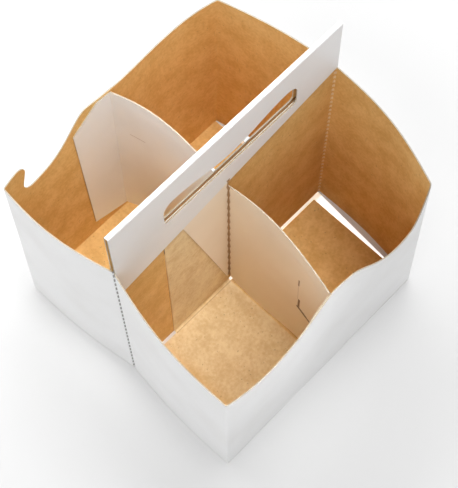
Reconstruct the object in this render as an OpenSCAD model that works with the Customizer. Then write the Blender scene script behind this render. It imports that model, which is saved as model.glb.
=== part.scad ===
// Bottle carrier folded from one kind of paperboard, white outside and kraft inside.
// X runs along the handle from the near end to the far end, Y across it, Z up.
// Each side has a wall whose ends fold in at the middle of the carrier and become
// a ply of the partition. A saddle with the hand slot covers both plies, and a
// divider folds out of it on each side and is glued to the side wall.

/* [Board] */
// Thickness of the paperboard
board_t = 0.8; // [0.6:0.1:1.2]
// Air between the two plies of the partition
ply_gap = 0.6; // [0.4:0.1:1.2]
// How deep glued faces bite into each other
bond = 0.05; // [0.02:0.01:0.1]

/* [Walls] */
// Length of a side wall, along the handle
base_l = 180; // [160:1:210]
// Width between the side walls
base_w = 182; // [160:1:210]
// Height of the corners
corner_h = 155; // [140:1:168]
// Height of a side wall where its divider meets it
peak_h = 157; // [150:1:168]
// Height of an end at its middle fold
end_h = 175; // [165:1:185]
// Outward spring of each half of the near end at its upper edge
near_end_bow = 4.5; // [0:0.5:8]
// Outward spring of each half of the near end at its foot
near_foot_bow = 2.4; // [0:0.2:8]
// Outward spring of the far end's front half at its upper edge
far_front_bow = 5.5; // [0:0.5:8]
// Outward spring of the far end's front half at its foot
far_foot_bow = 3; // [0:0.5:8]
// Outward spring of the far end's back half
far_back_bow = 2.5; // [0:0.5:8]
// Outward spring of the front wall's upper edge along the near cell
front_near_bow = 3.5; // [0:0.5:10]
// Outward spring of the front wall's upper edge along the far cell
front_far_bow = 4.5; // [0:0.5:10]
// Outward spring of the back wall's upper edge along the near cell
back_near_bow = 3; // [0:0.5:10]
// Outward spring of the back wall's upper edge along the far cell
back_far_bow = 6.5; // [0:0.5:10]
// How far the front divider pushes the front wall's upper edge out
front_push = 0.8; // [0:0.2:4]
// How far the back divider pushes the back wall's upper edge out
back_push = 2.2; // [0:0.2:4]
// How far the walls are racked along the handle between foot and upper edge
rack = 3.8; // [0:0.2:6]
// How far the front near corner leans out at its top
lean_out = 3.4; // [0:0.2:6]
// How far the front far corner leans in at its top
lean_in = 3.4; // [0:0.2:6]

/* [Scoops] */
// Depth of the shallow scoops in the side walls
shallow_scoop = 7.5; // [2:0.5:16]
// Depth of the deep scoop in the front wall's far half
front_scoop = 38; // [20:1:45]
// Length over which the front deep scoop falls from the corner
front_fall = 18; // [8:0.5:24]
// Distance from the corner at which the front deep scoop starts to rise
front_rise = 0; // [0:1:20]
// Distance from the corner at which the front deep scoop is back at full height
front_end = 76; // [66:1:82]
// Depth of the deep scoop in the back wall's near half
back_scoop = 29; // [26:1:45]
// Distance from the corner at which the back deep scoop starts to rise
back_rise = 14; // [0:1:20]
// Distance from the corner at which the back deep scoop is back at full height
back_end = 70; // [60:1:78]
// Reach of the hook's tip from the back near corner
hook_w = 18; // [14:0.5:20]
// Radius of the hook's tip
hook_r = 7; // [4:0.5:8]
// Distance of the notch beside the hook from the corner, to its lowest point
notch_w = 21.5; // [20:0.5:26]
// Radius of the notch
notch_r = 7.5; // [4:0.5:8]

/* [Partition and handle] */
// Length of the partition and handle
partition_l = 183; // [170:1:200]
// How far the partition stands towards the far end
partition_shift = 7; // [0:0.5:10]
// Height of the handle's top fold
handle_h = 224; // [210:1:240]
// Outside radius of the handle's top fold
handle_r = 1.6; // [1.4:0.1:2.5]
// Depth of the saddle below the top fold, at the near end
band_near_drop = 79; // [64:1:89]
// Depth of the saddle below the top fold, at the far end
band_far_drop = 48; // [45:1:64]
// Length of the hand slot
slot_l = 108; // [85:1:120]
// Offset of the hand slot from the partition's middle, towards the far end
slot_shift = 1.5; // [-4:0.5:4]
// Distance of the slot's lower edge below the top fold
slot_drop = 44; // [36:0.5:47]
// Height of the slot at its ends
slot_h = 21; // [16:0.5:24]
// How far the slot's upper edge sags in the middle
slot_sag = 8; // [0:0.5:10]
// Radius of the slot's upper corners
slot_upper_r = 8; // [3:0.5:8]
// Radius of the slot's lower corners
slot_lower_r = 3; // [1:0.5:6]
// How far the plies stand above the slot's lower edge
ply_rise = 3; // [1:0.5:6]

/* [Dividers] */
// Offset of the dividers from the middle of wall and partition, towards the near end
divider_back = 2; // [0:0.5:6]
// Height of a divider at both its ends
divider_h = 155; // [146:1:158]
// How far a divider's upper edge arches above its ends
divider_crown = 17; // [0:1:20]
// Height of a divider's lower edge at the partition
divider_root_gap = 12; // [6:1:20]
// Height of a divider's lower edge at the side wall
divider_gap = 4; // [2:0.5:12]
// Sideways bulge of a divider's lower edge, towards the far end
divider_bulge = 5; // [0:0.5:12]
// Length of the tapered panel left on the saddle beside a divider, along the handle
taper_l = 38; // [20:1:45]
// Width of the tapered panel's lower end
taper_tip = 2.5; // [1:0.5:6]
// Width of the glue flap on the side wall
flap_w = 32; // [20:1:40]
// How much narrower the glue flap is at its foot
flap_taper = 4; // [0:0.5:8]
// Drop of the glue flap's slanted upper corner
flap_drop = 18; // [10:1:35]
// Rise of the glue flap's lower edge away from its divider
flap_rise = 10; // [0:1:20]
// How far the glue flap stays below the side wall's edge
flap_margin = 1.5; // [1:0.5:4]
// Width of the slit in the front divider
slit_w = 1.2; // [0.6:0.1:1.5]
// Height of the slit's upper end
slit_z = 86; // [60:1:110]
// Length of the slit up and down
slit_drop = 22; // [10:1:30]
// Length of the slit towards the side wall
slit_run = 18; // [6:1:20]
// How sharply the slit turns towards the side wall
slit_turn = 6; // [2:1:8]
// Distance of the slit's lower end from the side wall
slit_edge = 9; // [4:1:20]

/* [Floor] */
// Gap between a floor panel and the near end
floor_near_gap = 3; // [2:0.5:6]
// Gap between a floor panel and the far corner
floor_far_gap = 1.5; // [1:0.5:6]
// Gap between a floor panel and the partition, beyond the dividers
floor_side_gap = 2.4; // [1:0.2:5]
// Length of the floor's glue flap on the partition, along the handle
floor_flap_l = 53; // [30:1:60]

/* [Hidden] */

end_steps = 8;
side_steps = 28;
wall_rows = 5;
divider_steps = 10;
flap_steps = 8;
sheet_rows = 5;
arc_steps = 6;
edge_steps = 90;
slot_steps = 32;
slit_steps = 8;
overshoot = 1;
cut_in = 10;
cut_out = 20;
$fn = 32;

// Offset of a ply's middle surface from the carrier's middle plane
ply_y = (ply_gap + board_t) / 2;
// Outer face of a ply, on which the floor's glue flap lies
ply_face = ply_gap / 2 + board_t;
// Inner and middle surface of the saddle where it lies on the floor's glue flap
saddle_in = ply_face + board_t;
saddle_y = saddle_in + board_t / 2;
// Greatest value of the bow's curve, which is divided by it to peak at one
bow_peak = 0.4 * pow(0.6, 1.5);
// The saddle's lower edge and the slot hang from the handle's top fold
band_near_h = handle_h - band_near_drop;
band_far_h = handle_h - band_far_drop;
slot_z = handle_h - slot_drop;
near_x = partition_shift - partition_l / 2;
far_x = partition_shift + partition_l / 2;
// Where a divider folds out of the saddle, and where it meets the side wall
root_x = partition_shift - divider_back;
meet_u = -2 * divider_back / base_l;

function lerp(a, b, t) = a + (b - a) * t;
function clamp(x) = max(0, min(1, x));
function smooth(a, b, x) = let (t = clamp((x - a) / (b - a))) t * t * (3 - 2 * t);
function unit(v) = v / norm(v);
function turned(v) = [-v.y, v.x];

// Plan corner of a side at a share v of its height: end is -1 near, 1 far
function corner(side, end, v) =
    let (lean = side > 0 ? 0 : end < 0 ? -lean_out : lean_in)
    [end * base_l / 2 + side * rack * (v - 0.5), side * base_w / 2 + lean * v];

// Bow along one cell, from 0 at the corner to 0 at the divider
function bow_shape(h) = h * pow(1 - h, 1.5) / bow_peak;
function side_bow(side, u) =
    side < 0 ? (u < 0 ? front_near_bow : front_far_bow) : (u < 0 ? back_near_bow : back_far_bow);
function side_push(side) = side < 0 ? front_push : back_push;

// Plan point of a side wall, u from -1 at the near corner to 1 at the far corner
function side_point(side, u, v) =
    let (p = lerp(corner(side, -1, v), corner(side, 1, v), (u + 1) / 2))
    [p.x, p.y + side * v * (side_bow(side, u) * bow_shape(1 - abs(u)) + side_push(side) * (1 - u * u))];
function side_top(u) = lerp(peak_h, corner_h, abs(u));

// Plan point of half an end, w from 0 at the corner to 1 at the middle fold
function end_point(side, end, w, v) =
    let (p = lerp(corner(side, end, v), [end < 0 ? near_x : far_x, side * ply_y], w))
    [p.x + end * end_bow(side, end, v) * sin(180 * w), p.y];
function end_bow(side, end, v) =
    end < 0 ? lerp(near_foot_bow, near_end_bow, v) :
    side < 0 ? lerp(far_foot_bow, far_front_bow, v) : far_back_bow;
function end_top(w) = lerp(corner_h, end_h, w);

// The wall of one side in plan: in from the near fold, round both corners, to the far fold
function wall_path(side, v) = concat(
    [for (i = [0:end_steps - 1]) end_point(side, -1, 1 - i / end_steps, v)],
    [for (i = [0:side_steps]) side_point(side, 2 * i / side_steps - 1, v)],
    [for (i = [1:end_steps]) end_point(side, 1, i / end_steps, v)]);
wall_tops = concat(
    [for (i = [0:end_steps - 1]) end_top(1 - i / end_steps)],
    [for (i = [0:side_steps]) side_top(2 * i / side_steps - 1)],
    [for (i = [1:end_steps]) end_top(i / end_steps)]);

// A path moved sideways by d, with mitred corners
function mitre(p, i) =
    let (n = len(p) - 1,
         a = turned(unit(p[min(i + 1, n)] - p[min(i, n - 1)])),
         b = turned(unit(p[max(i, 1)] - p[max(i - 1, 0)])),
         m = a + b)
    2 * m / (m * m);
function beside(path, d) = [for (i = [0:len(path) - 1]) path[i] + d * mitre(path, i)];

// Rows of plan paths and their heights, made into a board with its thickness centred on them
module board(paths, heights) {
    rows = len(paths);
    cols = len(paths[0]);
    side_size = rows * cols;
    function at(s, j, i) = s * side_size + j * cols + i;
    function quad(a, b, c, d) = [[a, b, c], [a, c, d]];
    points = [for (d = [-1, 1]) for (j = [0:rows - 1])
        let (p = beside(paths[j], d * board_t / 2))
        for (i = [0:cols - 1]) [p[i].x, p[i].y, heights[j][i]]];
    faces = concat(
        [for (j = [0:rows - 2]) for (i = [0:cols - 2])
            each quad(at(0, j, i), at(0, j + 1, i), at(0, j + 1, i + 1), at(0, j, i + 1))],
        [for (j = [0:rows - 2]) for (i = [0:cols - 2])
            each quad(at(1, j, i), at(1, j, i + 1), at(1, j + 1, i + 1), at(1, j + 1, i))],
        [for (i = [0:cols - 2])
            each quad(at(0, 0, i), at(0, 0, i + 1), at(1, 0, i + 1), at(1, 0, i))],
        [for (i = [0:cols - 2])
            each quad(at(0, rows - 1, i), at(1, rows - 1, i), at(1, rows - 1, i + 1), at(0, rows - 1, i + 1))],
        [for (j = [0:rows - 2])
            each quad(at(0, j, 0), at(1, j, 0), at(1, j + 1, 0), at(0, j + 1, 0))],
        [for (j = [0:rows - 2])
            each quad(at(0, j, cols - 1), at(0, j + 1, cols - 1), at(1, j + 1, cols - 1), at(1, j, cols - 1))]);
    polyhedron(points, faces);
}

// A flat shape drawn in X and Z, given a thickness along Y from y0 to y1
module upright(y0, y1) {
    translate([0, max(y0, y1), 0])
        rotate([90, 0, 0])
            linear_extrude(abs(y1 - y0))
                children();
}

function arc(c, r, a0, a1) =
    [for (i = [0:arc_steps]) let (a = lerp(a0, a1, i / arc_steps)) c + r * [cos(a), sin(a)]];

// Depth cut from a side wall: a shallow scoop on one half, a deep one on the other
function shallow_depth(e) = shallow_scoop * sin(360 * e / base_l);
function rise(a, b, e) = smooth(0, 1, pow(clamp((e - a) / (b - a)), 2));
function front_depth(e) = front_scoop * sin(90 * clamp(e / front_fall)) * (1 - rise(front_rise, front_end, e));
function back_depth(e) = back_scoop * (1 - rise(back_rise, back_end, e));
function depth(side, u) =
    let (e = base_l / 2 * (1 - abs(u)))
    u * side > 0 ? shallow_depth(e) : side < 0 ? front_depth(e) : back_depth(e);

// A side wall's scooped edge, as seen from the side
function side_edge(side, u) = [side_point(side, u, 1).x, side_top(u) - depth(side, u)];
function side_edges(side, u0, u1) =
    [for (i = [0:edge_steps]) side_edge(side, lerp(u0, u1, i / edge_steps))];

// The hook at the back near corner: a round tip, and a straight line from it to a round notch
function hook_edges(u) =
    let (tip = [side_edge(1, -1).x + hook_w - hook_r, side_top(u) - hook_r],
         notch = side_edge(1, u) + [0, notch_r],
         between = notch - tip,
         turn = atan2(between.y, between.x) + acos((hook_r + notch_r) / norm(between)))
    concat(arc(tip, hook_r, 90, turn), arc(notch, notch_r, 180 + turn, 270));

// Everything above a line of edge points
module above(edges) {
    polygon(concat(edges, [[edges[len(edges) - 1].x, end_h], [edges[0].x, end_h]]));
}

module side_wall(side) {
    shares = [for (j = [0:wall_rows]) j / wall_rows];
    notch_u = 2 * notch_w / base_l - 1;
    difference() {
        board([for (v = shares) wall_path(side, v)], [for (v = shares) v * wall_tops]);
        upright(side * (base_w / 2 - cut_in), side * (base_w / 2 + cut_out))
            if (side < 0)
                above(side_edges(side, -1, 1));
            else
                above(concat(hook_edges(notch_u), side_edges(side, notch_u, 1)));
    }
}

module ply(side) {
    upright(side * ply_gap / 2, side * ply_face)
        translate([near_x - board_t / 2, 0])
            square([partition_l + board_t, slot_z + ply_rise]);
}

function band_z(x) = lerp(band_near_h, band_far_h, (x - near_x) / partition_l);

// The saddle seen from the side: the band, and the tapered panels left by the dividers
module saddle_outline() {
    polygon([[near_x, band_near_h], [near_x, handle_h + overshoot], [far_x, handle_h + overshoot],
        [far_x, band_far_h], [root_x, band_z(root_x)], [root_x, divider_root_gap],
        [root_x - taper_tip, divider_root_gap], [root_x - taper_l, band_z(root_x - taper_l)]]);
}

// The saddle seen from its end: a round fold over two leaves that open towards the band's edge
module saddle_section(r, y) {
    fold_z = handle_h - handle_r;
    translate([0, fold_z])
        circle(r);
    polygon([[-r, fold_z], [r, fold_z], [y, band_near_h], [y, 0], [-y, 0], [-y, band_near_h]]);
}

module saddle() {
    intersection() {
        upright(-2 * saddle_y, 2 * saddle_y)
            saddle_outline();
        translate([near_x, 0, 0])
            rotate([90, 0, 90])
                linear_extrude(partition_l)
                    difference() {
                        saddle_section(handle_r, saddle_in + board_t);
                        saddle_section(handle_r - board_t, saddle_in);
                    }
    }
}

module hand_slot() {
    x0 = partition_shift + slot_shift - slot_l / 2;
    x1 = x0 + slot_l;
    z1 = slot_z + slot_h;
    upright(-2 * saddle_y, 2 * saddle_y)
        polygon(concat(
            arc([x0 + slot_lower_r, slot_z + slot_lower_r], slot_lower_r, 180, 270),
            arc([x1 - slot_lower_r, slot_z + slot_lower_r], slot_lower_r, 270, 360),
            arc([x1 - slot_upper_r, z1 - slot_upper_r], slot_upper_r, 0, 90),
            [for (i = [1:slot_steps - 1])
                let (t = i / slot_steps)
                [lerp(x1 - slot_upper_r, x0 + slot_upper_r, t), z1 - slot_sag * pow(sin(180 * t), 2)]],
            arc([x0 + slot_upper_r, z1 - slot_upper_r], slot_upper_r, 90, 180)));
}

// Where a divider stands in plan, d from 0 at the saddle to 1 at the side wall, z high
function divider_point(side, d, z) =
    lerp([root_x, side * saddle_y], side_point(side, meet_u, z / side_top(meet_u)), d)
    + [divider_bulge * sin(180 * d * d) * clamp(1 - z / divider_h), 0];
function divider_top(d) = divider_h + divider_crown * sin(180 * d);
function divider_low(d) = lerp(divider_gap, divider_root_gap, pow(1 - d, 3));

module divider(side) {
    shares = [for (i = [0:divider_steps]) i / divider_steps];
    heights = [for (j = [0:sheet_rows])
        [for (d = shares) lerp(divider_low(d), divider_top(d), j / sheet_rows)]];
    board([for (row = heights) [for (i = [0:divider_steps]) divider_point(side, shares[i], row[i])]], heights);
}

// A cut in the front divider, down and then round towards the side wall
module divider_slit() {
    path = [for (i = [0:slit_steps])
        let (t = i / slit_steps)
        [slit_edge + slit_run * (1 - pow(t, slit_turn)) - base_w / 2, slit_z - slit_drop * t]];
    left = beside(path, slit_w / 2);
    right = beside(path, -slit_w / 2);
    rotate([90, 0, 90])
        linear_extrude(partition_l, center = true)
            polygon(concat(left, [for (i = [slit_steps:-1:0]) right[i]]));
}

// The divider's glue flap lies on the inside of the side wall, towards the near end
module glue_flap(side) {
    shares = [for (i = [0:flap_steps]) i / flap_steps];
    function flap_u(t, z) = meet_u - 2 * t * (flap_w - flap_taper * (1 - z / divider_h)) / base_l;
    function slant(t) = divider_h - flap_drop * clamp(1.5 * t - 0.5);
    function flap_top(t) = min(slant(t), side_edge(side, flap_u(t, divider_h))[1] - flap_margin);
    function flap_low(t) = divider_gap + flap_rise * t;
    heights = [for (j = [0:sheet_rows])
        [for (t = shares) lerp(flap_low(t), flap_top(t), j / sheet_rows)]];
    paths = [for (row = heights)
        [for (i = [0:flap_steps])
            let (u = flap_u(shares[i], row[i]))
            side_point(side, u, row[i] / side_top(u)) - [0, side * (board_t - bond)]]];
    board(paths, heights);
}

module floor_panel(side) {
    near = corner(side, -1, 0);
    far = corner(side, 1, 0);
    flap_x = root_x - floor_flap_l;
    open_y = side * (ply_face + floor_side_gap);
    held_y = side * (ply_face + board_t / 2);
    linear_extrude(board_t)
        polygon([near + [floor_near_gap, 0], far - [floor_far_gap, 0], [far.x - floor_far_gap, open_y],
            [root_x, open_y], [root_x, held_y], [flap_x, held_y], [flap_x, open_y],
            [near_x + floor_near_gap, open_y]]);
    upright(side * (ply_face - bond), side * (saddle_in + bond))
        translate([flap_x, 0])
            square([floor_flap_l, band_z(flap_x)]);
}

// Middle of the carrier's outline in plan, which stands on the origin
outline = [for (side = [-1, 1]) for (v = [0, 1]) each wall_path(side, v)];
outline_x = [for (p = outline) p.x];
outline_y = [for (p = outline) p.y];
middle = [min(outline_x) + max(outline_x), min(outline_y) + max(outline_y)] / 2;

module carrier() {
    color("white")
        translate([-middle.x, -middle.y, 0])
            difference() {
                union() {
                    saddle();
                    for (side = [-1, 1]) {
                        side_wall(side);
                        ply(side);
                        glue_flap(side);
                        floor_panel(side);
                    }
                    divider(1);
                    difference() {
                        divider(-1);
                        divider_slit();
                    }
                }
                hand_slot();
            }
}

carrier();
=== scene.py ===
"""A bottle carrier folded from paperboard, white outside and kraft inside.

Every panel is a board: a middle surface worked out on a grid, given the board's
thickness, with a white face, a kraft face and cut edges of its own.
X runs along the handle, Y across it, Z up. Sizes are in millimetres.
"""

import math

import bpy
import numpy as np
from mathutils import Matrix

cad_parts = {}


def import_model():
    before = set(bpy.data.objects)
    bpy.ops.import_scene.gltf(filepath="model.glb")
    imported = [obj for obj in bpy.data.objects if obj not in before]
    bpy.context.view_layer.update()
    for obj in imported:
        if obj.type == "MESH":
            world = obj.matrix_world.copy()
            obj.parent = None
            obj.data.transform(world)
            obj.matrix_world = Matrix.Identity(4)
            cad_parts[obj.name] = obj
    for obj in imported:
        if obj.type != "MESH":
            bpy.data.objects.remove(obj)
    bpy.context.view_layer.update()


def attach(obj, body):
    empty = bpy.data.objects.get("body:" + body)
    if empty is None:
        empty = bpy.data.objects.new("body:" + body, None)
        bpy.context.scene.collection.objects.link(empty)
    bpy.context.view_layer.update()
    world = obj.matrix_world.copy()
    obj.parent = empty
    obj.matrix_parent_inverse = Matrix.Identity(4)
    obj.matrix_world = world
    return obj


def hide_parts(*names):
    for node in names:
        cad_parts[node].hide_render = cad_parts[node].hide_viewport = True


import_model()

MM = 0.001
NODE = "carrier"

# Board
BOARD_T = 0.8
PLY_GAP = 0.6
FOLD_R = 1.2

# Walls
BASE_L = 180.0
BASE_W = 182.0
CORNER_H = 155.0
PEAK_H = 157.0
END_H = 175.0
NEAR_END_BOW = 4.5
NEAR_FOOT_BOW = 2.4
FAR_FRONT_BOW = 5.5
FAR_FOOT_BOW = 3.0
FAR_BACK_BOW = 2.5
FRONT_BOWS = (3.5, 4.5)
BACK_BOWS = (3.0, 6.5)
FRONT_PUSH = 0.8
BACK_PUSH = 2.2
RACK = 3.8
LEAN_OUT = 3.4
LEAN_IN = 3.4

# Scoops
SHALLOW_SCOOP = 7.5
FRONT_SCOOP = 38.0
FRONT_FALL = 18.0
FRONT_END = 76.0
BACK_SCOOP = 29.0
BACK_RISE = 14.0
BACK_END = 70.0
HOOK_W = 18.0
HOOK_R = 7.0
NOTCH_W = 21.5
NOTCH_R = 7.5

# Partition and handle
PARTITION_L = 183.0
PARTITION_SHIFT = 7.0
HANDLE_H = 224.0
HANDLE_R = 1.6
BAND_NEAR_H = 145.0
BAND_FAR_H = 176.0
SLOT_L = 108.0
SLOT_SHIFT = 1.5
SLOT_Z = 180.0
SLOT_H = 21.0
SLOT_SAG = 8.0
SLOT_UPPER_R = 8.0
SLOT_LOWER_R = 3.0
NICK_L = 3.0
NICK_RISE = 0.4
NICK_TAPER = 0.25
NICKS = (("narrow_nick", -2.4, 2.0), ("wide_nick", 24.8, 4.4))  # name, x and width

# Dividers
DIVIDER_BACK = 2.0
DIVIDER_H = 155.0
DIVIDER_CROWN = 17.0
DIVIDER_ROOT_GAP = 12.0
DIVIDER_GAP = 4.0
DIVIDER_BULGE = 5.0
TAPER_L = 38.0
TAPER_TIP = 2.5
FLAP_W = 32.0
FLAP_TAPER = 4.0
FLAP_DROP = 18.0
FLAP_RISE = 10.0
FLAP_MARGIN = 1.5
SLIT_W = 1.2
SLIT_Z = 86.0
SLIT_DROP = 22.0
SLIT_TURN = 6
SLIT_RUN = 18.0
SLIT_EDGE = 9.0
SLIT_SHARES = (0.69, 0.75)  # of a divider's width, where its columns crowd round the slit's end

# Floor
FLOOR_NEAR_GAP = 3.0
FLOOR_FAR_GAP = 1.5
FLOOR_SIDE_GAP = 2.4
FLOOR_FLAP_L = 53.0
FLOOR_FLAP_TUCK = 2.0

# Worked out from the sizes above
PLY_Y = (PLY_GAP + BOARD_T) / 2
PLY_FACE = PLY_GAP / 2 + BOARD_T
SADDLE_Y = PLY_FACE + 1.5 * BOARD_T
FOLD_Z = HANDLE_H - HANDLE_R
NEAR_X = PARTITION_SHIFT - PARTITION_L / 2
FAR_X = PARTITION_SHIFT + PARTITION_L / 2
ROOT_X = PARTITION_SHIFT - DIVIDER_BACK
MEET_U = -2 * DIVIDER_BACK / BASE_L
BOW_PEAK = 0.4 * 0.6**1.5
FLAP_X = ROOT_X - FLOOR_FLAP_L
FLOOR_EDGE = PLY_FACE + FLOOR_SIDE_GAP

# Grids of the walls
WALL_ROWS = 41
END_COLS = 26
FOLD_COLS = 7
NECK = 0.8  # share of its height where a column starts to lean
HOOK_CROWD = 0.98  # share of the notch's distance that the columns under the hook take up
TINY = 1e-9


def lerp(a, b, t):
    """The point a share t of the way from a to b."""
    return a + (b - a) * t


def smooth(a, b, x):
    """0 below a, 1 above b, and the cubic 3t^2 - 2t^3 between them."""
    t = np.clip((x - a) / (b - a), 0, 1)
    return t * t * (3 - 2 * t)


def arc(cx, cy, r, start, stop, steps=9):
    """Points of a circle round (cx, cy), from one angle in degrees to the other."""
    a = np.radians(np.linspace(start, stop, steps))
    return cx + r * np.cos(a), cy + r * np.sin(a)


def corner(side, end, v):
    """Plan corner of a wall at a share v of its height, racked along X and leaning in Y."""
    lean = 0.0 if side > 0 else (-LEAN_OUT if end < 0 else LEAN_IN)
    return np.stack([end * BASE_L / 2 + side * RACK * (v - 0.5), side * BASE_W / 2 + lean * v], -1)


def bow_shape(h):
    """How a wall springs out along one cell: h (1 - h)^1.5, scaled to a peak of one."""
    return h * np.maximum(1 - h, 0) ** 1.5 / BOW_PEAK


def side_plan(side, u, v):
    """Plan point of a side wall, u from -1 near to 1 far: the line between its corners,
    moved out by the cell's bow and by the push of the divider, both growing with v."""
    near_bow, far_bow = FRONT_BOWS if side < 0 else BACK_BOWS
    push = FRONT_PUSH if side < 0 else BACK_PUSH
    p = lerp(corner(side, -1, v), corner(side, 1, v), ((u + 1) / 2)[..., None])
    bow = np.where(u < 0, near_bow, far_bow) * bow_shape(1 - abs(u))
    p[..., 1] += side * v * (bow + push * (1 - u * u))
    return p


def side_top(u):
    """Height of a side wall before it is scooped."""
    return lerp(PEAK_H, CORNER_H, abs(u))


def end_plan(side, end, w, v):
    """Plan point of half an end, w from 0 at the corner to 1 at the middle fold:
    the straight line between them, moved out by half a sine wave."""
    near_bow = lerp(NEAR_FOOT_BOW, NEAR_END_BOW, v)
    far_bow = lerp(FAR_FOOT_BOW, FAR_FRONT_BOW, v) if side < 0 else FAR_BACK_BOW
    bow = near_bow if end < 0 else far_bow
    fold = np.array([NEAR_X if end < 0 else FAR_X, side * PLY_Y])
    p = lerp(corner(side, end, v), fold, w[..., None])
    p[..., 0] += end * bow * np.sin(np.pi * w)
    return p


def rise(a, b, e):
    """A slow start and a quick end: the smooth step of the squared share of the way from a to b."""
    return smooth(0, 1, np.clip((e - a) / (b - a), 0, 1) ** 2)


def scoop(side, u):
    """Depth cut from a side wall, by the distance e from its corner: half a sine wave on one half,
    and on the other a deep scoop that rises back towards the divider."""
    e = BASE_L / 2 * (1 - abs(u))
    shallow = SHALLOW_SCOOP * np.sin(2 * np.pi * e / BASE_L)
    fall = np.sin(np.pi / 2 * np.clip(e / FRONT_FALL, 0, 1))
    front = FRONT_SCOOP * fall * (1 - rise(0, FRONT_END, e))
    back = BACK_SCOOP * (1 - rise(BACK_RISE, BACK_END, e))
    return np.where(u * side > 0, shallow, front if side < 0 else back)


def outline_middle():
    """Middle of the carrier's outline in plan, from all four walls at foot and top."""
    share, v = np.meshgrid(np.linspace(0, 1, 29), [0.0, 1.0])
    ends = [end_plan(side, end, share, v) for side in (-1, 1) for end in (-1, 1)]
    walls = [side_plan(side, 2 * share - 1, v) for side in (-1, 1)]
    p = np.concatenate([g.reshape(-1, 2) for g in ends + walls])
    return (p.min(0) + p.max(0)) / 2


MIDDLE = np.array([*outline_middle(), 0.0])


class Value:
    """A shader socket that can be used in sums: each operator adds its Math node."""

    def __init__(self, shader, socket):
        self.shader = shader
        self.socket = socket

    def math(self, operation, *terms):
        sockets = dict(enumerate(terms))
        return self.shader.add("ShaderNodeMath", {"operation": operation}, sockets)

    def __add__(self, other):
        return self.math("ADD", self, other)

    def __sub__(self, other):
        return self.math("SUBTRACT", self, other)

    def __rsub__(self, other):
        return self.math("SUBTRACT", other, self)

    def __mul__(self, other):
        return self.math("MULTIPLY", self, other)

    def __truediv__(self, other):
        return self.math("DIVIDE", self, other)

    def __gt__(self, other):
        return self.math("GREATER_THAN", self, other)

    def __lt__(self, other):
        return self.math("LESS_THAN", self, other)

    def __abs__(self):
        return self.math("ABSOLUTE", self)

    __radd__ = __add__
    __rmul__ = __mul__

    def wave(self, period):
        """A triangle wave, 0 to 1 to 0 over each period."""
        return self.math("PINGPONG", self * (2 / period), 1.0)

    def held(self):
        """The value, held between 0 and 1."""
        return self.math("MINIMUM", self.math("MAXIMUM", self, 0.0), 1.0)


class Shader:
    """The nodes of a new material or world. add() makes any node, from its type, its settings
    and then its sockets."""

    def __init__(self, material, surface="Principled BSDF"):
        self.material = material
        self.material.use_nodes = True
        self.tree = self.material.node_tree
        self.surface = self.tree.nodes[surface]

    def add(self, kind, settings=None, sockets=None, out=0):
        node = self.tree.nodes.new(kind)
        for key, value in (settings or {}).items():
            setattr(node, key, value)
        for key, value in (sockets or {}).items():
            self.feed(node.inputs[key], value)
        return Value(self, node.outputs[out])

    def feed(self, socket, value):
        if isinstance(value, Value):
            self.tree.links.new(value.socket, socket)
        else:
            socket.default_value = value

    def place(self):
        """Object coordinates: the vector, and its three parts in millimetres as the sizes count
        them, before the outline's middle is moved to the origin."""
        vector = self.add("ShaderNodeTexCoord", out="Object")
        parts = [self.add("ShaderNodeSeparateXYZ", sockets={0: vector}, out=i) for i in range(3)]
        return vector, [p * (1 / MM) + float(m) for p, m in zip(parts, MIDDLE)]

    def noise(self, vector, scale, detail=2.0, stretch=(1, 1, 1)):
        """Fractal noise from 0 to 1, with its pattern drawn out along an axis by stretch."""
        if stretch != (1, 1, 1):
            sockets = {"Vector": vector, "Scale": stretch}
            vector = self.add("ShaderNodeMapping", sockets=sockets)
        sockets = {"Vector": vector, "Scale": scale, "Detail": detail}
        return self.add("ShaderNodeTexNoise", sockets=sockets)

    def step(self, value, low, high):
        """0 at low and 1 at high, with a smooth rise between them."""
        settings = {"interpolation_type": "SMOOTHSTEP"}
        sockets = {"Value": value, "From Min": low, "From Max": high}
        return self.add("ShaderNodeMapRange", settings, sockets)

    def mix(self, a, b, factor):
        """Colour a where factor is 0, colour b where it is 1."""
        sockets = {"Factor": factor, 6: a, 7: b}
        return self.add("ShaderNodeMix", {"data_type": "RGBA"}, sockets, out=2)

    def bump(self, height, strength, distance):
        sockets = {"Strength": strength, "Distance": distance, "Height": height}
        return self.add("ShaderNodeBump", sockets=sockets)

    def shown(self):
        """1 for rays that show a background: from the camera, mirrored or let through."""
        camera_ray, glossy_ray, through_ray = [
            self.add("ShaderNodeLightPath", out="Is %s Ray" % kind)
            for kind in ("Camera", "Glossy", "Transmission")
        ]
        return (camera_ray + glossy_ray + through_ray).held()

    def finish(self, **values):
        for name, value in values.items():
            self.feed(self.surface.inputs[name.replace("_", " ")], value)
        return self.material


# Colours of the board's faces, cuts and folds, and of painted light and shade on them
WHITE = (0.86, 0.86, 0.86, 1)
WHITE_WORN = (0.82, 0.815, 0.81, 1)
# The white coat tinted warm by painted light bounced off the kraft
BOUNCE_LIT_WHITE = (0.90, 0.80, 0.66, 1)
BOUNCE_LIT_WHITE_WORN = (0.87, 0.76, 0.61, 1)
# Kraft, each as its middle, pale and dark tone
KRAFT = ((0.76, 0.475, 0.170, 1), (0.85, 0.57, 0.230, 1), (0.64, 0.360, 0.100, 1))
# The same kraft, paler: painted direct light and sheen
SHEEN_LIT_KRAFT = ((0.80, 0.62, 0.345, 1), (0.88, 0.73, 0.455, 1), (0.67, 0.47, 0.225, 1))
# Fibres and specks, and painted shade under the dividers
FIBRE_AND_SHADE = (0.24, 0.105, 0.033, 1)
SCORE = (0.44, 0.285, 0.155, 1)
CUT_SHADOW = (0.16, 0.075, 0.025, 1)
DOT = (0.25, 0.24, 0.23, 1)
CUT = (0.47, 0.41, 0.32, 1)
# Pale cut fibres, and a painted highlight on the floor flap's edge
PALE_CUT_AND_HIGHLIGHT = (0.94, 0.80, 0.58, 1)
CUT_DARK = (0.38, 0.30, 0.20, 1)

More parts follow.
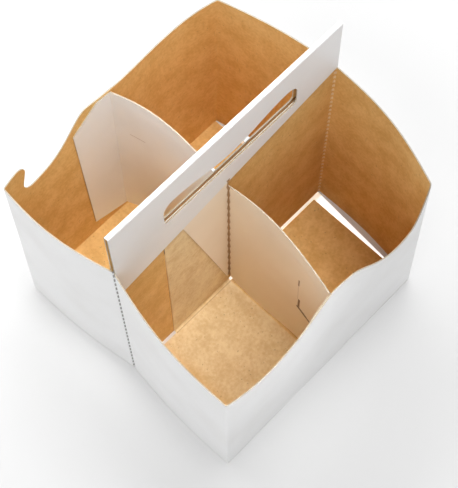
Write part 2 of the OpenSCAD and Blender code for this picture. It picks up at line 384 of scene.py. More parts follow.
# Scales of the noises
BLOTCHES = 22.0
GRAIN = 1400.0
CLOUDS = 75.0
FELT = 480.0
FIBRES = 520.0
SPECKS = 700.0
EDGE_FIBRES = 900.0
FIBRE_STRETCH = (1.0, 1.0, 0.22)

# Painted shade in the cuts of the dividers: two points of (y, z), half the width, and how dark
SLIT_SHADE_MARKS = (
    ((-65.8, 123), (-65.4, 113), 0.55, 0.85),
    ((-65.4, 113), (-64.8, 86), 0.35, 0.20),
    ((-66.2, 87), (-65.6, 71), 0.80, 1.0),
    ((-65.6, 71), (-72.5, 67.2), 1.70, 1.0),
    ((-72.5, 67.2), (-83.5, 64.2), 1.40, 1.0),
    ((79.1, 116.2), (66.8, 120.6), 0.40, 0.35),
)
CUT_FADE = (0.6, 1.4)  # shares of half the width
CUT_REACH = 14.0

# Painted shade between the boards under the hand slot: from y to y, and how dark
SLOT_SHADES = ((0.25, 1.05, 0.95), (-1.6, -1.05, 0.75))
SLOT_SHADE_H = 1.0

# Serrated cuts at the dividers' roots: the teeth's period, half widths, soft edge and ends
SERRATION = 10.0
SERRATION_HALF_W = 0.9
TOOTH = 0.9
TOOTH_FADE = 0.25
SERRATION_Y = SADDLE_Y + 0.3
SERRATION_TOP = DIVIDER_H + 8

# Perforated middle folds of the ends: period, half width and how far in from the fold
NEAR_DOTS, NEAR_DOT_HALF_W, NEAR_DOT_IN = 6.6, 0.9, 3.0
FAR_DOTS, FAR_DOT_HALF_W, FAR_DOT_IN = 5.2, 2.0, 1.8
DOT_GAP = 0.42  # share of a wave's height under which the fold is uncut

# Creases and painted shades on the floor panels, and how far the painted highlight on the front
# flap's edge may lie from its foot along X, from the middle plane and from the table
FLOOR_FACE = BOARD_T + 0.4
CREASE_Y = FLOOR_EDGE + 0.4
CREASE_Z = 3.4
CREASE_FADE = (0.20, 0.45)
SHADE_IN = (-0.5, 2.5)
SHADE_OUT = (7.0, 10.0)
TONE_CHANGE = 1.0
FOOT_SHADE = (-75.0, -51.0)
HIGHLIGHT_EDGE_X, HIGHLIGHT_EDGE_Y, HIGHLIGHT_EDGE_Z = 16.0, 7.0, 140.0


def serrated_fold(shader, x, y, z):
    """Where the board is cut half through at a divider's root: a band whose edges zigzag."""
    width = SERRATION_HALF_W + TOOTH * z.wave(SERRATION)
    at_root = 1 - shader.step(abs(x - ROOT_X), width - TOOTH_FADE, width + TOOTH_FADE)
    return at_root * (abs(y) < SERRATION_Y + width) * (z < SERRATION_TOP)


def fold_dots(y, z, period, half_width):
    """Perforation along an end's middle fold: dashes up the fold, where a wave is over the gap."""
    return (abs(y) < half_width) * (z.wave(period) > DOT_GAP) * (z < END_H)


def slit_shade(shader, x, y, z, start, stop, half_width):
    """Painted shade along a short cut in a divider, straight from one point of (y, z) to the other:
    1 where the distance to the nearest point of that line is under half its width."""
    y0, z0 = start
    dy, dz = stop[0] - y0, stop[1] - z0
    across, up = y - y0, z - z0
    along = ((across * dy + up * dz) / (dy * dy + dz * dz)).held()
    off_y, off_z = across - along * dy, up - along * dz
    low, high = [(share * half_width) ** 2 for share in CUT_FADE]
    near = 1 - shader.step(off_y * off_y + off_z * off_z, low, high)
    return near * (abs(x - ROOT_X) < CUT_REACH)


def white_face(name, white, worn):
    """White clay coat: nearly even, a little blotchy, with scored and perforated folds, and painted
    shade in the dividers' cuts; white and worn may be a copy tinted by painted bounce light.
    """
    s = Shader(bpy.data.materials.new(name))
    vector, (x, y, z) = s.place()
    blotch = s.noise(vector, BLOTCHES, 3.0)
    grain = s.noise(vector, GRAIN, 2.0)
    colour = s.mix(white, worn, s.step(blotch, 0.35, 0.8))
    colour = s.mix(colour, SCORE, serrated_fold(s, x, y, z))
    at_near_fold = fold_dots(y, z, NEAR_DOTS, NEAR_DOT_HALF_W) * (x < NEAR_X + NEAR_DOT_IN)
    colour = s.mix(colour, DOT, at_near_fold * 0.9)
    # Painted shade in the dividers' cuts
    for start, stop, half_width, strength in SLIT_SHADE_MARKS:
        mark = slit_shade(s, x, y, z, start, stop, half_width)
        colour = s.mix(colour, CUT_SHADOW, mark * strength)
    return s.finish(
        Base_Color=colour,
        Roughness=0.40 + 0.16 * blotch,
        Normal=s.bump(grain, 0.10, 0.0002),
    )


def floor_creases(shader, x, y, z):
    """Where a floor panel's glue flap bends up: a thin dark line on each side of the bend."""
    out = abs(y) - CREASE_Y
    on_floor = 1 - shader.step(abs(out), *CREASE_FADE)
    on_flap = (1 - shader.step(abs(z - CREASE_Z), *CREASE_FADE)) * (out < 0)
    along = (x > FLAP_X) * (x < ROOT_X)
    return (on_floor * (z < FLOOR_FACE) + on_flap).held() * along


def under_divider(shader, x, z):
    """The strip of floor below the dividers, where light hardly reaches."""
    along = x - ROOT_X
    return shader.step(along, *SHADE_IN) * (1 - shader.step(along, *SHADE_OUT)) * (z < FLOOR_FACE)


def kraft_face(name, near, far):
    """Bare kraft: cloudy tone, fibres drawn out along the sheet, and fine dark specks.
    near and far are its tones on either side of the dividers; where the near tones are paler, that
    is painted light and sheen. Towards the near end's foot the near tones fade into the far ones,
    as painted shade."""
    s = Shader(bpy.data.materials.new(name))
    vector, (x, y, z) = s.place()
    # Beyond the dividers' roots the far tones; on the near side the near tones, which for the floor
    # kraft are paler as painted light and sheen
    beyond = s.step(x, ROOT_X - TONE_CHANGE, ROOT_X + TONE_CHANGE)
    # Painted shade: towards the near end's foot the far tones return
    foot_shade = 1 - s.step(x, *FOOT_SHADE)
    tone, pale, dark = [s.mix(a, b, (beyond + foot_shade).held()) for a, b in zip(near, far)]
    cloud = s.noise(vector, CLOUDS, 4.0)
    felt = s.noise(vector, FELT, 3.0)
    fibre = s.noise(vector, FIBRES, 2.0, FIBRE_STRETCH)
    speck = s.noise(vector, SPECKS, 0.0)
    colour = s.mix(dark, pale, s.step(cloud * 0.55 + felt * 0.45, 0.30, 0.70))
    colour = s.mix(tone, colour, 0.75)
    colour = s.mix(colour, FIBRE_AND_SHADE, s.step(fibre, 0.66, 0.80) * 0.22)
    colour = s.mix(colour, FIBRE_AND_SHADE, s.step(speck, 0.80, 0.84) * 0.40)
    colour = s.mix(colour, SCORE, floor_creases(s, x, y, z) * 0.55)
    # Painted shade under the dividers
    colour = s.mix(colour, FIBRE_AND_SHADE, under_divider(s, x, z) * 0.55)
    at_far_fold = fold_dots(y, z, FAR_DOTS, FAR_DOT_HALF_W) * (x > FAR_X - FAR_DOT_IN)
    colour = s.mix(colour, PALE_CUT_AND_HIGHLIGHT, at_far_fold * 0.6)
    return s.finish(
        Base_Color=colour,
        Roughness=0.80 + 0.12 * felt,
        Normal=s.bump(felt * 0.6 + fibre * 0.4, 0.22, 0.0004),
    )


def cut_edge():
    """Die-cut edge: pale fibres, a little darker here and there, with a painted highlight on the
    floor flap's edge, and painted shade between the boards of the hand slot's lower side."""
    s = Shader(bpy.data.materials.new("cut edge"))
    vector, (x, y, z) = s.place()
    fibre = s.noise(vector, EDGE_FIBRES, 2.0)
    colour = s.mix(CUT, CUT_DARK, s.step(fibre, 0.5, 0.8))
    # Painted highlight on the floor flap's edge
    highlight_zone = (y < 0) * (y > -HIGHLIGHT_EDGE_Y) * (z < HIGHLIGHT_EDGE_Z)
    colour = s.mix(colour, PALE_CUT_AND_HIGHLIGHT, highlight_zone * (abs(x - FLAP_X) < HIGHLIGHT_EDGE_X))
    # Painted shade between the boards under the hand slot
    at_slot = abs(z - SLOT_Z) < SLOT_SHADE_H
    for low, high, strength in SLOT_SHADES:
        between = (y > low) * (y < high)
        colour = s.mix(colour, CUT_SHADOW, at_slot * between * strength)
    return s.finish(
        Base_Color=colour,
        Roughness=0.85 + 0.1 * fibre,
    )


FACES = [
    white_face("white coat", WHITE, WHITE_WORN),
    # The same white coat, tinted by painted warm bounce light
    white_face("white coat lit by painted bounce", BOUNCE_LIT_WHITE, BOUNCE_LIT_WHITE_WORN),
    kraft_face("kraft", KRAFT, KRAFT),
    # Floor kraft, paler in the front near cell with painted light and sheen
    kraft_face("floor kraft with painted sheen", SHEEN_LIT_KRAFT, KRAFT),
    cut_edge(),
]
WHITE_SIDE, BOUNCE_LIT_SIDE, KRAFT_SIDE, SHEEN_LIT_FLOOR_SIDE, CUT_SIDE = range(5)

# By side, front or back: the coat of dividers and tapered panels, the front one tinted by painted
# bounce light, and the kraft of floor panels, the front one paler with painted light and sheen
INNER_COAT = {-1: BOUNCE_LIT_SIDE, 1: WHITE_SIDE}
FLOOR_KRAFT = {-1: SHEEN_LIT_FLOOR_SIDE, 1: KRAFT_SIDE}
FOLD_ANGLE = math.radians(35)


def grid_normals(points, ring):
    """Unit normals of a grid: across the columns, crossed with up the rows."""
    if ring:
        along = np.roll(points, -1, 1) - np.roll(points, 1, 1)
    else:
        along = np.gradient(points, axis=1)
    n = np.cross(along, np.gradient(points, axis=0))
    return n / np.maximum(np.linalg.norm(n, axis=2, keepdims=True), TINY)


def board(name, points, white=1, outside=WHITE_SIDE, inside=KRAFT_SIDE, foot=CUT_SIDE, ring=False):
    """A board from its middle surface, rows by columns of points in millimetres.

    Each point is moved half the thickness along its normal, both ways, for the two faces,
    and the grid's edges are closed by strips between them. white says which face is the coated
    one: 1 for the one that the normal leaves, -1 for the other. outside is its finish, and inside
    is the finish of the face across from it. A ring's columns run round a hole.
    """
    rows, cols = points.shape[:2]
    normals = grid_normals(points, ring) * BOARD_T / 2
    places = np.concatenate([(points + normals).reshape(-1, 3), (points - normals).reshape(-1, 3)])
    index = np.arange(2 * rows * cols).reshape(2, rows, cols)
    if ring:
        index = np.concatenate([index, index[:, :, :1]], 2)
    a, b = index

    def quads(p, q, r, s):
        return np.stack([p, q, r, s], -1).reshape(-1, 4)

    face_a = quads(a[:-1, :-1], a[:-1, 1:], a[1:, 1:], a[1:, :-1])
    face_b = quads(b[:-1, :-1], b[1:, :-1], b[1:, 1:], b[:-1, 1:])
    low = quads(a[0, 1:], a[0, :-1], b[0, :-1], b[0, 1:])
    high = quads(a[-1, :-1], a[-1, 1:], b[-1, 1:], b[-1, :-1])
    strips = [face_a, face_b, low, high]
    sides = [outside, inside, foot, CUT_SIDE] if white > 0 else [inside, outside, foot, CUT_SIDE]
    if not ring:
        strips.append(quads(a[:-1, 0], a[1:, 0], b[1:, 0], b[:-1, 0]))
        strips.append(quads(a[1:, -1], a[:-1, -1], b[:-1, -1], b[1:, -1]))
        sides += [CUT_SIDE, CUT_SIDE]
    mesh = bpy.data.meshes.new(name)
    mesh.from_pydata(((places - MIDDLE) * MM).tolist(), [], np.concatenate(strips).tolist())
    for face in FACES:
        mesh.materials.append(face)
    worn = np.repeat(sides, [len(q) for q in strips]).astype(np.int32)
    mesh.polygons.foreach_set("material_index", worn)
    mesh.polygons.foreach_set("use_smooth", np.ones(len(worn), dtype=bool))
    mesh.set_sharp_from_angle(angle=FOLD_ANGLE)
    mesh.update()
    piece = bpy.data.objects.new(name, mesh)
    bpy.context.scene.collection.objects.link(piece)
    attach(piece, "root")
    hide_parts(NODE)
    return piece


def named(side, piece):
    """A piece's name, with front or back before it."""
    return ("front_" if side < 0 else "back_") + piece


def upright(plan, z):
    """Plan points and heights as one array of points."""
    return np.concatenate([plan, z[..., None]], -1)


def end_columns(side, end, w):
    """Half an end: columns at the shares w, each rising to the end's slanted upper edge."""
    v = np.linspace(0, 1, WALL_ROWS)[:, None]
    plan = end_plan(side, end, w + 0 * v, v + 0 * w)
    return upright(plan, v * lerp(CORNER_H, END_H, w))


def side_columns(side, foot_u, top_u, top_z, neck_z):
    """A side wall: each column stands straight up to its neck, then leans to its point on the
    cut edge."""
    v = np.linspace(0, 1, WALL_ROWS)[:, None]
    low = np.clip(v / NECK, 0, 1)
    high = np.clip((v - NECK) / (1 - NECK), 0, 1)
    u = lerp(foot_u, top_u, high)
    z = low * neck_z + high * (top_z - neck_z)
    return upright(side_plan(side, u, z / side_top(u)), z)


def rounded_fold(before, at, after):
    """A fold between two columns: the parabola that leaves one for the corner and joins the
    other."""
    t = np.linspace(0, 1, FOLD_COLS + 2)[1:-1, None]
    bend = [(1 - s) ** 2 * before + 2 * s * (1 - s) * at + s**2 * after for s in t]
    return np.stack(bend, 1)


def corner_column(side, end, top):
    """The sharp corner that a rounded fold cuts off."""
    v = np.linspace(0, 1, WALL_ROWS)
    return upright(corner(side, end, v), v * top)


def front_edge():
    """The front wall's cut edge, with its columns closer together where the deep scoop falls."""
    start = 1 - 2 * FOLD_R / BASE_L
    u = np.concatenate([np.linspace(-start, 0.7, 110), np.linspace(0.7, start, 50)[1:]])
    top_z = side_top(u) - scoop(-1, u)
    return u, u, top_z, NECK * top_z


def hook_outline(notch_u):
    """The hook's edge from the corner: its level top, the round tip, the straight line that touches
    both circles, and the round notch. Returns X, Z and the share of the edge's length."""
    notch_x = notch_u * BASE_L / 2 + RACK / 2
    notch_z = float(side_top(notch_u) - scoop(1, np.array(notch_u))) + NOTCH_R
    tip_x = -BASE_L / 2 + RACK / 2 + HOOK_W - HOOK_R
    tip_z = float(side_top(notch_u)) - HOOK_R
    apart = math.hypot(notch_x - tip_x, notch_z - tip_z)
    across = math.atan2(notch_z - tip_z, notch_x - tip_x)
    turn = math.degrees(across + math.acos((HOOK_R + NOTCH_R) / apart))
    tip = arc(tip_x, tip_z, HOOK_R, 90, turn, 24)
    notch = arc(notch_x, notch_z, NOTCH_R, 180 + turn, 270, 24)
    t = np.linspace(0, 1, 14)
    top = lerp(-BASE_L / 2 + RACK / 2 + FOLD_R, tip[0][0], t), lerp(CORNER_H, tip[1][0], t)
    drop = lerp(tip[0][-1], notch[0][0], t), lerp(tip[1][-1], notch[1][0], t)
    x, z = np.concatenate([np.array(p)[:, :-1] for p in (top, tip, drop, notch)], 1)
    length = np.concatenate([[0], np.cumsum(np.hypot(np.diff(x), np.diff(z)))])
    return x, z, length / length[-1]


def back_edge():
    """The back wall's cut edge: the hook, then the scoops. The columns under the hook are crowded
    towards the corner, by the square of their share, so that they all stay left of the notch."""
    start = 1 - 2 * FOLD_R / BASE_L
    notch_u = 2 * NOTCH_W / BASE_L - 1
    x, z, share = hook_outline(notch_u)
    rest_u = np.linspace(notch_u, start, 150)
    rest_z = side_top(rest_u) - scoop(1, rest_u)
    top_u = np.concatenate([(x - RACK * (z / CORNER_H - 0.5)) / (BASE_L / 2), rest_u])
    foot_u = np.concatenate([lerp(-start, notch_u, HOOK_CROWD * share**2), rest_u])
    neck_z = np.concatenate([0 * x + NECK * CORNER_H, NECK * rest_z])
    return foot_u, top_u, np.concatenate([z, rest_z]), neck_z


def ply_column(side, end, inset):
    """A column of the ply, at an inset from the end's middle fold."""
    v = np.linspace(0, 1, WALL_ROWS)
    x = (NEAR_X if end < 0 else FAR_X) - end * inset
    return np.stack([x + 0 * v, side * PLY_Y + 0 * v, v * END_H], -1)


def wall(side):
    """One side's wall in one sheet: from the ply round the middle fold, half the near end, the side
    wall, half the far end, and round its middle fold to the ply again."""
    edge = front_edge() if side < 0 else back_edge()
    fold_w = 2 * FOLD_R / BASE_W
    w = np.linspace(fold_w, 1 - fold_w, END_COLS)
    near, far = end_columns(side, -1, w[::-1]), end_columns(side, 1, w)
    middle = side_columns(side, *edge)
    near_ply, far_ply = ply_column(side, -1, FOLD_R), ply_column(side, 1, FOLD_R)
    strips = [
        near_ply[:, None],
        rounded_fold(near_ply, ply_column(side, -1, 0), near[:, 0]),
        near,
        rounded_fold(near[:, -1], corner_column(side, -1, CORNER_H), middle[:, 0]),
        middle,
        rounded_fold(middle[:, -1], corner_column(side, 1, CORNER_H), far[:, 0]),
        far,
        rounded_fold(far[:, -1], ply_column(side, 1, 0), far_ply),
        far_ply[:, None],
    ]
    points = np.concatenate(strips, 1)
    board(named(side, "wall"), points, white=-side, foot=WHITE_SIDE)


def ply(side):
    """One ply of the partition: a flat sheet from end fold to end fold, up to the hand slot."""
    along, up = np.linspace(NEAR_X + FOLD_R, FAR_X - FOLD_R, 60), np.linspace(0, SLOT_Z, 40)
    x, z = np.meshgrid(along, up)
    points = np.stack([x, 0 * x + side * PLY_Y, z], -1)
    board(named(side, "ply"), points, white=side, outside=KRAFT_SIDE, foot=WHITE_SIDE)


def leaf_y(z):
    """How far the saddle's middle surface stands from the middle plane at a height: it spreads
    with the square of the way down from the top fold."""
    down = np.clip((FOLD_Z - z) / (FOLD_Z - BAND_NEAR_H), 0, 1)
    return lerp(HANDLE_R - BOARD_T / 2, SADDLE_Y, down**2)


def band_z(x):
    """Height of the saddle's lower edge."""
    return lerp(BAND_NEAR_H, BAND_FAR_H, (x - NEAR_X) / PARTITION_L)


def slot_outline():
    """The hand slot, anticlockwise: round lower corners, round upper corners, and between
    those an upper edge that sags by a squared sine."""
    x0 = PARTITION_SHIFT + SLOT_SHIFT - SLOT_L / 2
    x1 = x0 + SLOT_L
    z1 = SLOT_Z + SLOT_H
    t = np.linspace(0, 1, 70)[1:-1]
    low_x = np.linspace(x0 + SLOT_LOWER_R, x1 - SLOT_LOWER_R, 60)[1:-1]
    left_low = arc(x0 + SLOT_LOWER_R, SLOT_Z + SLOT_LOWER_R, SLOT_LOWER_R, 180, 270)
    right_low = arc(x1 - SLOT_LOWER_R, SLOT_Z + SLOT_LOWER_R, SLOT_LOWER_R, 270, 360)
    right_top = arc(x1 - SLOT_UPPER_R, z1 - SLOT_UPPER_R, SLOT_UPPER_R, 0, 90, 15)
    left_top = arc(x0 + SLOT_UPPER_R, z1 - SLOT_UPPER_R, SLOT_UPPER_R, 90, 180, 15)
    sag = lerp(x1 - SLOT_UPPER_R, x0 + SLOT_UPPER_R, t), z1 - SLOT_SAG * np.sin(np.pi * t) ** 2
    low = low_x, 0 * low_x + SLOT_Z
    return np.concatenate([left_low, low, right_low, right_top, sag, left_top], 1)


def band_outline(x, z):
    """For each point of the slot's edge, the point of the band's own edge that a ray from the
    slot's middle through it meets: the nearest of the four sides that the ray faces."""
    cx, cz = PARTITION_SHIFT + SLOT_SHIFT, SLOT_Z + SLOT_H / 3
    dx, dz = x - cx, z - cz
    slope = (BAND_FAR_H - BAND_NEAR_H) / PARTITION_L
    low = (band_z(cx) - cz) / np.minimum(dz - slope * dx, -TINY)
    high = (FOLD_Z - cz) / np.maximum(dz, TINY)
    near = (NEAR_X - cx) / np.minimum(dx, -TINY)
    far = (FAR_X - cx) / np.maximum(dx, TINY)
    reach = np.minimum.reduce([low, high, near, far])
    return cx + reach * dx, cz + reach * dz


def square_corners(x, z):
    """Puts the outline's nearest point onto each true corner of the band."""
    for corner_x, corner_z in (
        (NEAR_X, BAND_NEAR_H),
        (FAR_X, BAND_FAR_H),
        (FAR_X, FOLD_Z),
        (NEAR_X, FOLD_Z),
    ):
        nearest = np.argmin((x - corner_x) ** 2 + (z - corner_z) ** 2)
        x[nearest], z[nearest] = corner_x, corner_z
    return x, z


def saddle_band(side):
    """One leaf of the saddle: rings from the hand slot's edge out to the band's edge."""
    slot_x, slot_z = slot_outline()
    edge_x, edge_z = square_corners(*band_outline(slot_x, slot_z))
    r = np.linspace(0, 1, 12)[:, None]
    x, z = lerp(slot_x, edge_x, r), lerp(slot_z, edge_z, r)
    points = np.stack([x, side * leaf_y(z), z], -1)
    board(named(side, "band"), points, white=side, ring=True)


def slot_nicks():
    """Two small tongues that the die left on the back leaf, in the middle of the hand slot's
    lower side. They are bent over to the back."""
    t, v = np.meshgrid(np.linspace(-0.5, 0.5, 5), np.linspace(0, 1, 5))
    y, z = leaf_y(SLOT_Z) + NICK_L * v, SLOT_Z + NICK_RISE * v
    for name, x, width in NICKS:
        points = np.stack([x + width * t * (1 - NICK_TAPER * v), y, z], -1)
        board(name, points, white=1, inside=WHITE_SIDE)


def saddle_fold():
    """The handle's top: half a tube along X that joins both leaves."""
    x, angle = np.meshgrid(np.linspace(NEAR_X, FAR_X, 60), np.linspace(0, np.pi, 21))
    r = HANDLE_R - BOARD_T / 2
    points = np.stack([x, -r * np.cos(angle), FOLD_Z + r * np.sin(angle)], -1)
    board("handle_fold", points, white=1)


def taper(side):
    """The tapered panel under the band, beside the divider's fold, down to a narrow tip."""
    t, v = np.meshgrid(np.linspace(0, 1, 16), np.linspace(0, 1, 40))
    wide = lerp(TAPER_TIP, TAPER_L, v)
    x = ROOT_X - wide * (1 - t)
    z = lerp(DIVIDER_ROOT_GAP, band_z(x), v)
    points = np.stack([x, side * leaf_y(z), z], -1)
    board(named(side, "taper"), points, white=-side, outside=INNER_COAT[side])


def divider_plan(side, d, z):
    """Plan point of a divider, d from 0 at the saddle to 1 at the side wall: the line between
    them, bulging towards the far end, most at its foot."""
    root = np.array([ROOT_X, side * SADDLE_Y])
    p = lerp(root, side_plan(side, MEET_U + 0 * z, z / side_top(MEET_U)), d[..., None])
    p[..., 0] += DIVIDER_BULGE * np.sin(np.pi * d * d) * np.clip(1 - z / DIVIDER_H, 0, 1)
    return p


def divider_top(d):
    """Height of a divider's upper edge: a crown of half a sine wave."""
    return DIVIDER_H + DIVIDER_CROWN * np.sin(np.pi * d)


def divider_low(d):
    """Height of a divider's lower edge: it comes down from the root with the cube of the way."""
    return lerp(DIVIDER_GAP, DIVIDER_ROOT_GAP, (1 - d) ** 3)


def divider_sheet(name, side, low, high, rows):
    """The part of a divider between two edges given over the shares d."""
    start, stop = SLIT_SHARES
    inner, outer = np.linspace(0, start, 56), np.linspace(stop, 1, 26)
    d = np.concatenate([inner, np.linspace(start, stop, 20)[1:], outer[1:]])
    z = lerp(low(d), high(d), np.linspace(0, 1, rows)[:, None])
    points = upright(divider_plan(side, d + 0 * z, z), z)
    board(name, points, white=-side, outside=INNER_COAT[side])


def slit_share(d):
    """How far along the front divider's slit a share d is: 0 at its inner end, 1 beside the
    wall."""
    reach = (BASE_W / 2) * (1 - d)
    return np.clip(1 - (reach - SLIT_EDGE) / SLIT_RUN, 0, 1)


def slit_z(d):
    """Height of the slit: level as far as its inner end, then down by a root of its share, so
    steeply at first and then out to the wall."""
    return SLIT_Z - SLIT_DROP * slit_share(d) ** (1 / SLIT_TURN)


def slit_open(d):
    """How far the slit stands open: widest near its inner end, closed beside the wall."""
    t = slit_share(d)
    return SLIT_W * smooth(0, 0.02, t) * (1 - t) ** 1.2


def dividers():
    """The back divider is one sheet. The front one is cut in two along its slit, and the two
    sheets meet edge to edge wherever the slit isn't open."""
    divider_sheet("back_divider", 1, divider_low, divider_top, 50)
    divider_sheet("front_divider", -1, lambda d: slit_z(d) + slit_open(d), divider_top, 34)
    divider_sheet("front_divider_foot", -1, divider_low, slit_z, 24)


def glue_flap(side):
    """A divider's glue flap: it follows the wall's inside from the divider towards the near end,
    with an upper edge that slants down after a third of its width and a rising lower edge."""
    t = np.linspace(0, 1, 30)

    def flap_u(z):
        return MEET_U - 2 * t * (FLAP_W - FLAP_TAPER * (1 - z / DIVIDER_H)) / BASE_L

    top_u = flap_u(DIVIDER_H)
    slant = DIVIDER_H - FLAP_DROP * np.clip(1.5 * t - 0.5, 0, 1)
    top = np.minimum(slant, side_top(top_u) - scoop(side, top_u) - FLAP_MARGIN)
    z = lerp(DIVIDER_GAP + FLAP_RISE * t, top, np.linspace(0, 1, 40)[:, None])
    u = flap_u(z)
    plan = side_plan(side, u, z / side_top(u))
    plan[..., 1] -= side * BOARD_T
    board(named(side, "glue_flap"), upright(plan, z), white=-side)


def floor_panel(side):
    """A floor panel: flat, from the wall's foot to the partition, square at the far end."""
    near = corner(side, -1, np.array(0.0))
    far = corner(side, 1, np.array(0.0))
    inner_y = side * FLOOR_EDGE
    t, v = np.meshgrid(np.linspace(0, 1, 40), np.linspace(0, 1, 20))
    near_x = lerp(near[0] + FLOOR_NEAR_GAP, NEAR_X + FLOOR_NEAR_GAP, v)
    x = lerp(near_x, far[0] - FLOOR_FAR_GAP, t)
    y = lerp(near[1], inner_y, v)
    points = np.stack([x, y, 0 * x + BOARD_T / 2], -1)
    kraft = FLOOR_KRAFT[side]
    board(named(side, "floor"), points, white=side, inside=kraft, foot=WHITE_SIDE)


def floor_flap(side):
    """The floor's glue flap: on from the floor, round a quarter circle and up the partition."""
    face = PLY_FACE + BOARD_T / 2
    r = FLOOR_EDGE - face
    bend_y, bend_z = arc(FLOOR_EDGE, BOARD_T / 2 + r, r, 270, 180, 12)
    up = np.linspace(bend_z[-1], band_z(FLAP_X) + FLOOR_FLAP_TUCK, 40)[1:]
    section_y = np.concatenate([bend_y, 0 * up + face])
    section_z = np.concatenate([bend_z, up])
    x = np.linspace(FLAP_X, ROOT_X, 40) + 0 * section_y[:, None]
    points = np.stack([x, side * section_y[:, None] + 0 * x, section_z[:, None] + 0 * x], -1)
    board(named(side, "floor_flap"), points, white=side, inside=FLOOR_KRAFT[side])


def carrier():
    """Every board of the carrier."""
    for side in (-1, 1):
        wall(side)
        ply(side)
        saddle_band(side)
        taper(side)
        glue_flap(side)
        floor_panel(side)
        floor_flap(side)
    saddle_fold()
    slot_nicks()
    dividers()


# Table, in metres, and how far from the middle its lift towards white starts and ends, in mm
TABLE_SIZE = 6.0
TABLE_DROP = 0.0002
TABLE_WHITE = (0.70, 0.70, 0.70, 1)
TABLE_LIFT = (0.04, 0.04, 0.04, 1)
FAR_LIFT = (0.62, 0.62, 0.62, 1)
LIFT_FROM, LIFT_TO = 210, 700

# Painted glow that the camera sees in the gaps beside the floor panels, light or a kraft colour:
# from x to x, from y to y, and its colour
GLOWS = (
    (73, 102, -86, -5, (1.0, 0.98, 0.95, 1)),
    (3, 102, -5, 0, (0.66, 0.54, 0.40, 1)),
    (-77, -45, -1.3, 0, (0.25, 0.17, 0.09, 1)),
    (-77, -45, -5, -1.3, (0.02, 0.0, 0.0, 1)),
    (73, 102, 2, 89, (0.34, 0.17, 0.05, 1)),
)
GLOW_INSET = 1.5
NO_GLOW = (0, 0, 0, 1)

# Surroundings, as light and where they show
SKY_LIGHT = (0.60, 0.60, 0.60, 1)
SKY_SHOWN = (1, 1, 1, 1)

# Lamps that face the carrier: name, place and width in metres, and watts
LAMPS = (
    ("overhead", (0.47, 0, 1.73), 0.5, 8.5),
    ("back_right", (0.80, 0.80, 1.36), 0.9, 7),
    ("back_left", (0, 1.14, 1.36), 0.9, 9),
    ("front_left", (-1.08, -0.36, 1.36), 0.9, 5.6),
)
LAMP_TARGET = (0, 0, 0.1)

# Soft spots: name, place and target in metres, watts, and the cone in degrees
SPOTS = (
    ("front_near_cell_lamp", (-0.05, -0.11, 0.52), (-0.04, -0.045, 0), 2.6, 24),
    ("floor_flap_lamp", (-0.05, -0.30, 0.50), (-0.040, -0.003, 0.035), 16, 8),
    ("back_near_cell_lamp", (-0.04, -0.02, 0.60), (-0.04, 0.06, 0.03), 5.5, 24),
    ("back_far_cell_lamp", (0.045, -0.02, 0.60), (0.045, 0.06, 0.03), 5.5, 24),
)
SPOT_BLEND = 0.9
SPOT_R = 0.06

# Camera, in millimetres, degrees and pixels of the photograph
EYE = np.array([-232.3, -235.6, 872.1])
AZIMUTH, ELEVATION, ROLL = -45.5, 67.6, -0.5
FOCAL_PX = 1346.1
PHOTO_H_PX = 488
SENSOR = 36.0


def table_top():
    """A white table that keeps the shadow, lifted towards white for the camera by an amount that
    grows with the square of the distance from the middle. In the gaps beside the floor panels
    the table glows for the camera with painted light or a painted kraft colour, but only inside
    the straight line from the far fold to either far corner."""
    mesh = bpy.data.meshes.new("table_top")
    h = TABLE_SIZE / 2
    mesh.from_pydata([(-h, -h, 0), (h, -h, 0), (h, h, 0), (-h, h, 0)], [], [(0, 1, 2, 3)])
    s = Shader(bpy.data.materials.new("table white"))
    _, (x, y, _) = s.place()
    away = (x * x + y * y - LIFT_FROM**2) / (LIFT_TO**2 - LIFT_FROM**2)
    colour = s.mix(TABLE_LIFT, FAR_LIFT, away.held())
    outward = abs(y) / (BASE_W / 2)
    # Painted glow in the gaps beside the floor panels, for the camera only
    for x0, x1, y0, y1, glow in GLOWS:
        far_corner = float(corner(1 if y0 > 0 else -1, 1, np.array(0.0))[0])
        far_line = outward * (far_corner - FAR_X) + (FAR_X - GLOW_INSET)
        inside = (x > x0) * (x < x1) * (y > y0) * (y < y1) * (x < far_line)
        colour = s.mix(colour, glow, inside)
    s.finish(
        Base_Color=TABLE_WHITE,
        Roughness=0.9,
        Emission_Color=s.mix(NO_GLOW, colour, s.shown()),
        Emission_Strength=1.0,
    )
    mesh.materials.append(s.material)
    table = bpy.data.objects.new("table_top", mesh)
    table.location.z = -TABLE_DROP
    bpy.context.scene.collection.objects.link(table)


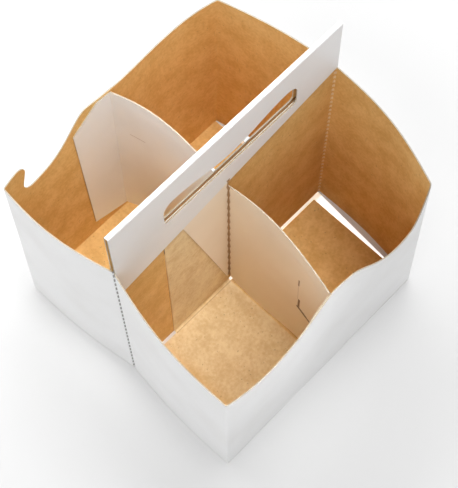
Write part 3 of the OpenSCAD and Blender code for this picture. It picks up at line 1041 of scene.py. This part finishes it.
def hang(name, data, place, target):
    """Puts a light at its place, facing its target."""
    light = bpy.data.objects.new(name, data)
    light.matrix_world = facing(np.array(place), np.array(place) - np.array(target))
    bpy.context.scene.collection.objects.link(light)


def lamps():
    """Square soft lights round the carrier, and soft spots that look down into its cells."""
    for name, place, width, watts in LAMPS:
        data = bpy.data.lights.new(name, "AREA")
        data.shape = "SQUARE"
        data.size = width
        data.energy = watts
        hang(name, data, place, LAMP_TARGET)
    for name, place, target, watts, cone in SPOTS:
        data = bpy.data.lights.new(name, "SPOT")
        data.energy = watts
        data.spot_size = math.radians(cone)
        data.spot_blend = SPOT_BLEND
        data.shadow_soft_size = SPOT_R
        hang(name, data, place, target)


def facing(place, back, roll=0.0):
    """A matrix at a place that looks along -back, level, then rolled by an angle in radians."""
    back = back / np.linalg.norm(back)
    right = np.cross([0.0, 1.0, 0.0] if abs(back[2]) > 0.999 else [0.0, 0.0, 1.0], back)
    right = right / np.linalg.norm(right)
    up = np.cross(back, right)
    c, s = math.cos(roll), math.sin(roll)
    axes = np.stack([c * right + s * up, c * up - s * right, back], 1)
    matrix = np.eye(4)
    matrix[:3, :3] = axes
    matrix[:3, 3] = place
    return Matrix(matrix.tolist())


def camera():
    """The photograph's camera: it looks from its eye along an azimuth and an elevation."""
    az, el = math.radians(AZIMUTH), math.radians(ELEVATION)
    back = np.array([math.sin(az) * math.cos(el), -math.cos(az) * math.cos(el), math.sin(el)])
    data = bpy.data.cameras.new("camera")
    data.sensor_fit = "VERTICAL"
    data.sensor_height = SENSOR
    data.lens = FOCAL_PX / PHOTO_H_PX * SENSOR
    eye = bpy.data.objects.new("camera", data)
    eye.matrix_world = facing((EYE - MIDDLE) * MM, back, math.radians(ROLL))
    bpy.context.scene.collection.objects.link(eye)
    bpy.context.scene.camera = eye


def world():
    """Even white surroundings: white where they show, dimmer as light."""
    s = Shader(bpy.data.worlds.new("studio"), "Background")
    bpy.context.scene.world = s.finish(Color=s.mix(SKY_LIGHT, SKY_SHOWN, s.shown()))


def studio():
    """The table, the lamps, the surroundings and the camera."""
    table_top()
    lamps()
    world()
    camera()
    bpy.context.scene.view_settings.view_transform = "Standard"


carrier()
studio()
